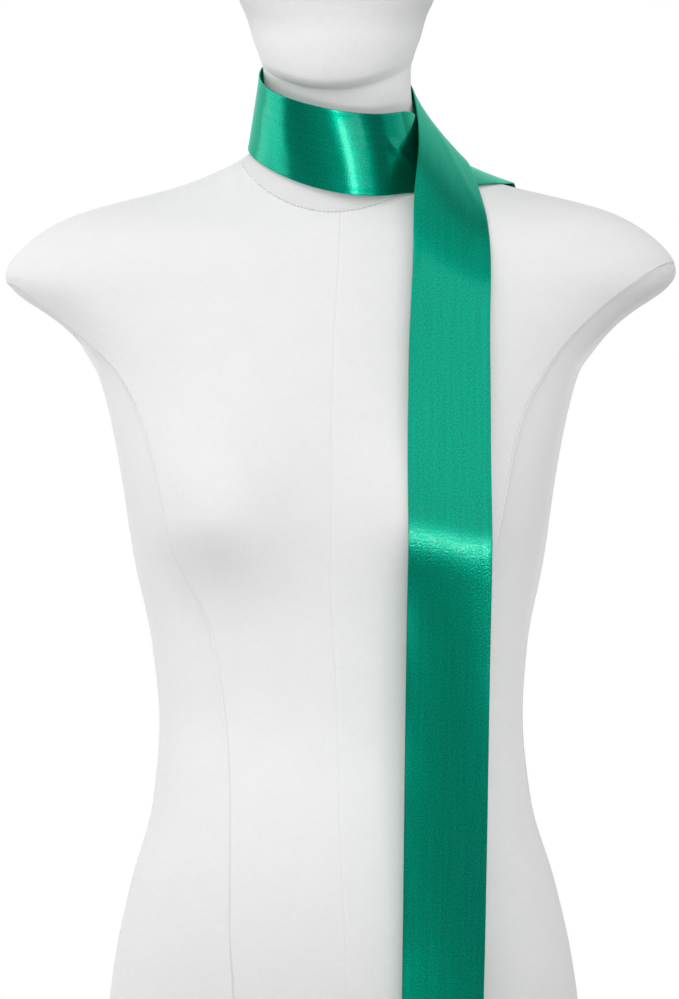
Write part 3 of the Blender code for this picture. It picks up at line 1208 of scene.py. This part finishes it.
@dataclass
class NeckStitches:
    """Small hand stitches that hold the neck's cover to the torso's cover."""

    name: str = "neck_stitches"
    spacing: float = 2.7 * MM
    wander: float = 0.12
    seed: int = 11
    length: float = 2.2 * MM
    shortest: float = 0.85
    longest: float = 1.15
    radius: float = 0.40 * MM
    taper: float = 0.45
    slant: float = 1.3 * MM
    proud: float = 0.16 * MM
    sink: float = 0.55 * MM
    lean: float = 0.9
    sides: int = 6
    stations: int = 7
    dense_turns: int = 4001

    def build(self, material: Material) -> Piece:
        """Build the stitches as one joined mesh of short bent tubes.

        Each stitch runs across the seam, slanted along it. Towards both ends it sinks and
        grows thinner with the fourth power of the share of its half length.

        Args:
            material: the thread.

        Returns:
            The piece, riding on the body.
        """
        turns = np.linspace(0, 2 * math.pi, self.dense_turns)[None, :]
        torso_ring = oval_points(np.array(TORSO_SECTIONS[-1:]), turns, SWELLS)[0]
        head_ring = oval_points(np.array(HEAD_SECTIONS[:1]), turns, ())[0]
        run = lengths_along(torso_ring, 0)
        count = int(run[-1] / self.spacing)
        rng = np.random.default_rng(self.seed)
        places = np.arange(count) + rng.uniform(-self.wander, self.wander, count)
        places = places * run[-1] / count % run[-1]
        seat, ahead, above = (
            np.stack([np.interp(where % run[-1], run, part) for part in ring.T], axis=1)
            for where, ring in (
                (places, torso_ring),
                (places + MM, torso_ring),
                (places, head_ring),
            )
        )
        along = unit(ahead - seat)
        out = unit(unit(seat * np.array([1.0, 1.0, 0.0])) + np.array([0.0, 0.0, self.lean]))
        up = unit(np.cross(out, along))
        up = up * np.sign(up[:, 2:3])
        share = np.linspace(-1, 1, self.stations)
        lengths = self.length * rng.uniform(self.shortest, self.longest, count)[:, None, None]
        spot = share[None, :, None]
        middle = (
            above[:, None]
            + up[:, None] * spot * lengths / 2
            + along[:, None] * spot * self.slant / 2
            + out[:, None] * (self.proud - self.sink * spot**4)
        )
        angle = (np.arange(self.sides) * 2 * math.pi / self.sides)[:, None]
        round_it = np.cos(angle) * along[:, None, None] + np.sin(angle) * out[:, None, None]
        slim = self.radius * (1 - self.taper * share**4)
        points = (middle[:, :, None] + round_it * slim[None, :, None, None]).reshape(-1, 3)
        offsets = np.arange(count)[:, None, None] * self.stations * self.sides
        one = grid_quads(self.stations, self.sides, closed=True)
        faces = [(one[None] + offsets).reshape(-1, 4)]
        for base, order in ((0, -1), ((self.stations - 1) * self.sides, 1)):
            loop = (base + np.arange(self.sides))[::order]
            fans = np.stack([np.full(self.sides - 2, loop[0]), loop[1:-1], loop[2:]], axis=1)
            faces.append((fans[None] + offsets).reshape(-1, 3))
        uv = [points[part][..., :2] for part in faces]
        piece = make_piece(self.name, points, faces, uv, material)
        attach(piece, "root")
        return piece


@dataclass
class SatinScarf:
    """The scarf: one narrow strip of doubled satin, as long as it was cut."""

    name: str = "satin_scarf"
    width: float = 0.055
    length: float = 1.5726
    wall: float = 0.66 * MM
    edge_swell: float = 0.16 * MM
    swell_inset: float = 1.6 * MM
    swell_width: float = 1.1 * MM
    end_thinning: float = 0.55
    rows: int = 1040
    columns: int = 27
    crowding: float = 0.35
    edge_turns: tuple[float, ...] = (60.0, 30.0, 0.0, -30.0, -60.0)
    probe: float = 1e-4
    camber: Wave = Wave(0.25 * MM, 0.16, 3)
    outer_wave: Wave = Wave(0.30 * MM, 0.045, 5)
    inner_wave: Wave = Wave(0.30 * MM, 0.052, 7)
    side_wave: Wave = Wave(0.22 * MM, 0.07, 9)
    fold_height: float = 0.06 * MM
    fold_place: float = -1.5 * MM
    fold_width: float = 1.3 * MM
    crease_start: tuple[float, float] = (-0.15, 0.25)
    crease_end: tuple[float, float] = (0.75, 1.15)
    nodes: tuple[str, ...] = (
        "scarf_front_tail",
        "scarf_nape",
        "scarf_neck_band",
        "scarf_back_tail",
    )
    knots: Array = field(init=False)
    table: Array = field(init=False)

    def __post_init__(self) -> None:
        """Measure the distances between the passes."""
        self.table = np.array(PASSES)
        self.knots = lengths_along(self.table[:, :3], 0)

    def frame(self, places: Array) -> tuple[Array, Array, Array]:
        """Middle points, directions across and outer normals at distances along the scarf.

        The strip runs along a natural spline. Across it is the way it looks crossed with the
        way it runs, and its outer normal is the way it runs crossed with across.

        Args:
            places: distances along the chords between the passes.

        Returns:
            Middle points, directions across and outer normals.
        """
        rows = spline(self.knots, self.table, places)
        ahead = spline(self.knots, self.table[:, :3], places + self.probe)
        behind = spline(self.knots, self.table[:, :3], places - self.probe)
        along = unit(ahead - behind)
        heading, lift = np.radians(rows[:, 3:]).T
        level = np.cos(lift)
        looks = np.stack([np.sin(heading) * level, -np.cos(heading) * level, np.sin(lift)], axis=1)
        across = unit(np.cross(looks, along))
        return rows[:, :3], across, np.cross(along, across)

    def relief(self, places: Array, run: Array, across: Array) -> Array:
        """How far the strip's middle surface stands off its plain run, in metres.

        It is the sum of a camber that wanders along the strip, a faint fold line down its
        middle, slow waves in each edge, and creases, which are bells over the distance from
        a line between two places.

        Args:
            places: distances along the chords, one for each row.
            run: distances along the cloth, one for each row.
            across: distances across the strip, one for each column.

        Returns:
            One height for each row and column, outwards.
        """
        share = across / (self.width / 2)
        height = self.camber.at(run) * (1 - share**2)
        height += self.fold_height * hump(across - self.fold_place, self.fold_width)
        height += self.outer_wave.at(run) * np.clip(-share, 0, 1) ** 3
        height += self.inner_wave.at(run) * np.clip(share, 0, 1) ** 3
        for crease in CREASES:
            height += self.crease_height(crease, places, across)
        return height

    def crease_height(self, crease: Crease, places: Array, across: Array) -> Array:
        """Height of one crease, fading at both its ends.

        Args:
            crease: the ridge or trough.
            places: distances along the chords, one for each row.
            across: distances across the strip, one for each column.

        Returns:
            One height for each row and column, outwards.
        """
        number = np.arange(len(self.knots))
        start, end = np.interp([crease.start, crease.end], number, self.knots)
        line = np.array([end - start, crease.end_across - crease.start_across])
        size = math.hypot(*line)
        v = places[:, None] - start
        u = across[None, :] - crease.start_across
        part = (v * line[0] + u * line[1]) / size**2
        away = (v * line[1] - u * line[0]) / size
        ends = smooth_step(*self.crease_start, part) * (1 - smooth_step(*self.crease_end, part))
        return crease.height * hump(away, crease.width) * ends

    def profile(self) -> tuple[Array, Array]:
        """The strip's closed outline in cross-section.

        The half thickness is half the wall plus a swell just inside each folded edge. The
        edges are closed by half circles.

        Returns:
            Distances across and heights over the middle surface, in order round the outline.
        """
        half = self.width / 2
        radius = self.wall / 2
        spot = np.linspace(-1, 1, self.columns)
        spot = np.sin(spot * math.pi / 2) * self.crowding + spot * (1 - self.crowding)
        across = spot * (half - radius)
        inset = np.abs(across) - (half - self.swell_inset)
        thick = radius + self.edge_swell * hump(inset, self.swell_width)
        turn = np.radians(self.edge_turns)
        edge_x = across[-1] + radius * np.cos(turn)
        edge_y = thick[-1] * np.sin(turn)
        x = np.concatenate([across, edge_x, across[::-1], -edge_x[::-1]])
        y = np.concatenate([thick, edge_y, -thick[::-1], edge_y[::-1]])
        return x, y

    def end_faces(self, loop: int) -> list[Numbers]:
        """Faces that close the strip's first end.

        Args:
            loop: count of points round the outline.

        Returns:
            Quads across the end, and triangles in its two rounded corners.
        """
        count, corner = self.columns, len(self.edge_turns)
        low = np.arange(count - 1)
        back = 2 * count + corner - 1 - low
        right = np.arange(count - 1, count + corner + 1)
        left = np.append(np.arange(2 * count + corner - 1, loop), 0)
        fans = [
            np.stack([np.full(corner, edge[0]), edge[1:-1], edge[2:]], axis=1)
            for edge in (right, left)
        ]
        return [np.stack([low, low + 1, back - 1, back], axis=1), np.concatenate(fans)]

    def build(self, material: Material) -> Piece:
        """Build the strip as a closed thin shell, with square folded ends.

        Args:
            material: its satin.

        Returns:
            The piece, riding on the body.
        """
        places = np.linspace(0.0, self.knots[-1], self.rows)
        middle, across, normal = self.frame(places)
        run = lengths_along(middle, 0)
        x, y = self.profile()
        thickness = np.ones(self.rows)
        thickness[[0, -1]] = self.end_thinning
        height = self.relief(places, run, x) + y * thickness[:, None]
        side = x + self.side_wave.at(run) * (x / (self.width / 2)) ** 3
        points = middle[:, None] + across[:, None] * side[..., None]
        points += normal[:, None] * height[..., None]
        loop = len(x)
        faces = [grid_quads(self.rows, loop, closed=True)[:, ::-1]]
        for part in self.end_faces(loop):
            faces += [part, part[:, ::-1] + (self.rows - 1) * loop]
        cloth = np.stack(np.broadcast_arrays(x, run[:, None]), axis=2).reshape(-1, 2)
        uv = [cloth[part] for part in faces]
        piece = make_piece(self.name, points.reshape(-1, 3), faces, uv, material)
        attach(piece, "root")
        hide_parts(*self.nodes)
        return piece


@dataclass(frozen=True)
class Softbox:
    """A soft rectangular light on a bearing from the place that it is aimed at."""

    name: str
    azimuth: float
    elevation: float
    distance: float
    width: float
    height: float
    power: float
    aim: tuple[float, float, float] = (0.0, 0.0, 0.55)

    def place(self) -> None:
        """Put the light on its bearing, in degrees from the front and above the horizon."""
        light = bpy.data.lights.new(self.name, "AREA")
        light.shape = "RECTANGLE"
        light.size = self.width
        light.size_y = self.height
        light.energy = self.power
        item = bpy.data.objects.new(self.name, light)
        item.visible_camera = False
        bpy.context.scene.collection.objects.link(item)
        azimuth, elevation = math.radians(self.azimuth), math.radians(self.elevation)
        level = math.cos(elevation)
        away = (math.sin(azimuth) * level, -math.cos(azimuth) * level, math.sin(elevation))
        item.location = [spot + self.distance * part for spot, part in zip(self.aim, away)]
        turn = Matrix.Rotation(azimuth, 4, "Z") @ Matrix.Rotation(math.pi / 2 - elevation, 4, "X")
        item.rotation_euler = turn.to_euler()


@dataclass
class Studio:
    """The pale floor, the soft lights, the white surroundings and the camera."""

    floor_radius: float = 0.66
    floor_middle: float = 0.05
    floor_drop: float = 0.0005
    floor_sides: int = 96
    floor_rings: int = 8
    camera_distance: float = 2.6
    camera_azimuth: float = 3.0
    camera_roll: float = -0.3
    camera_aim: tuple[float, float, float] = (-0.0003, 0.0, 0.452)
    lens: float = 135.8
    front_light: float = 0.335
    behind: tuple[float, float] = (-0.1, 0.75)
    low_light: float = 0.45
    above: tuple[float, float] = (-0.35, 0.15)
    boxes: tuple[Softbox, ...] = (
        Softbox("front_strip", 7.0, -0.2, 3.0, 1.10, 0.07, 6.2, (0.0, 0.0, 0.43)),
        Softbox("front_box", 5.0, 0.6, 3.0, 1.10, 0.30, 2.8, (0.0, 0.0, 0.43)),
        Softbox("over_box", 11.0, 23.0, 2.6, 2.6, 2.05, 19.5, (0.0, 0.0, 0.45)),
        Softbox("left_box", -72.0, 22.0, 2.5, 1.1, 1.4, 9.5),
        Softbox("left_back_box", -111.0, 22.0, 2.5, 2.0, 1.5, 3.0),
        Softbox("left_neck_box", -101.0, -8.0, 1.0, 1.0, 0.40, 2.5, (0.0, 0.0, 0.72)),
        Softbox("high_box", -34.0, 54.0, 2.4, 1.6, 1.2, 14.0),
        Softbox("low_box", 14.0, -22.0, 6.0, 3.50, 1.25, 52.0, (0.0, -0.05, 0.69)),
        Softbox("low_strip", 3.5, -22.0, 6.0, 0.75, 1.35, 36.0, (0.0, -0.05, 0.69)),
        Softbox("right_box", 84.0, 20.0, 2.5, 1.8, 1.5, 9.0),
    )

    def floor(self, material: Material) -> None:
        """A round plain floor under the form: rings of points out to its radius.

        Args:
            material: the floor's finish.
        """
        turns = np.arange(self.floor_sides) * 2 * math.pi / self.floor_sides
        radii = np.linspace(self.floor_middle, self.floor_radius, self.floor_rings)[:, None]
        axes = (radii * np.cos(turns), radii * np.sin(turns), -self.floor_drop)
        points = np.stack(np.broadcast_arrays(*axes), axis=2).reshape(-1, 3)
        quads = grid_quads(self.floor_rings, self.floor_sides, closed=True)[:, ::-1]
        faces = [quads, np.arange(self.floor_sides)[None, :]]
        uv = [points[part][..., :2] for part in faces]
        make_piece("studio_floor", points, faces, uv, material)

    def surroundings(self) -> None:
        """Light the scene softly from all round, with a plain white backdrop in view.

        The light from all round is dimmer in front of the form and below it.
        """
        world = bpy.data.worlds.new("white_studio")
        bpy.context.scene.world = world
        pen = NodePen(world)
        way = pen.place("Generated")
        around = pen.calculate(
            "MULTIPLY",
            pen.fade(pen.axis(way, "Y"), *self.behind, self.front_light, 1.0),
            pen.fade(pen.axis(way, "Z"), *self.above, self.low_light, 1.0),
        )
        seen = pen.add("LightPath").outputs["Is Camera Ray"]
        strength = pen.calculate("MAXIMUM", seen, around)
        base = world.node_tree.nodes["Background"]
        pen.feed(base, {"Color": (1.0, 1.0, 1.0, 1.0), "Strength": strength})

    def camera(self) -> None:
        """Stand the camera before the chest, level, as the photograph was taken."""
        data = bpy.data.cameras.new("front_camera")
        data.lens = self.lens
        data.sensor_width = 36.0
        item = bpy.data.objects.new("front_camera", data)
        bpy.context.scene.collection.objects.link(item)
        azimuth = math.radians(self.camera_azimuth)
        back = (math.sin(azimuth), -math.cos(azimuth), 0.0)
        place = [a + self.camera_distance * b for a, b in zip(self.camera_aim, back)]
        turn = (
            Matrix.Rotation(azimuth, 4, "Z")
            @ Matrix.Rotation(math.pi / 2, 4, "X")
            @ Matrix.Rotation(math.radians(self.camera_roll), 4, "Z")
        )
        item.matrix_world = Matrix.Translation(place) @ turn
        bpy.context.scene.camera = item

    def set_up(self) -> None:
        """Make the floor, lights, surroundings and camera, with plain colour rendering."""
        self.floor(FloorFinish().make())
        for box in self.boxes:
            box.place()
        self.surroundings()
        self.camera()
        bpy.context.scene.view_settings.view_transform = "Standard"


def corners(bounds: tuple[object, object]) -> list[list[float]]:
    """The two corners of a box as plain lists of numbers."""
    return [[float(value) for value in corner] for corner in bounds]


def main() -> None:
    """Dress the form, wind the scarf on it and set up the studio."""
    logging.basicConfig(level=logging.INFO, format="%(name)s: %(message)s")
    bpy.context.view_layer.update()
    # The head's linen is a darker copy of the torso's linen: painted shade on the downturned head.
    # Round the chin's height it is made paler again: painted light under the chin and on the neck.
    head_linen_painted_shade_and_light = LinenFinish(
        "linen_head_painted_shade_and_light",
        light=(0.740, 0.740, 0.740),
        dark=(0.690, 0.690, 0.690),
        painted_light_height=0.748,
        painted_light_gain=1.20,
    )
    builders = (
        (TorsoCover(), LinenFinish("linen_torso")),
        (HeadCover(), head_linen_painted_shade_and_light),
        (NeckStitches(), ThreadFinish()),
        (SatinScarf(), SatinFinish()),
    )
    for builder, finish in builders:
        piece = builder.build(finish.make())
        LOG.info("%s: %d faces", piece.name, len(piece.data.polygons))
    Studio().set_up()


if __name__ == "__main__":
    main()
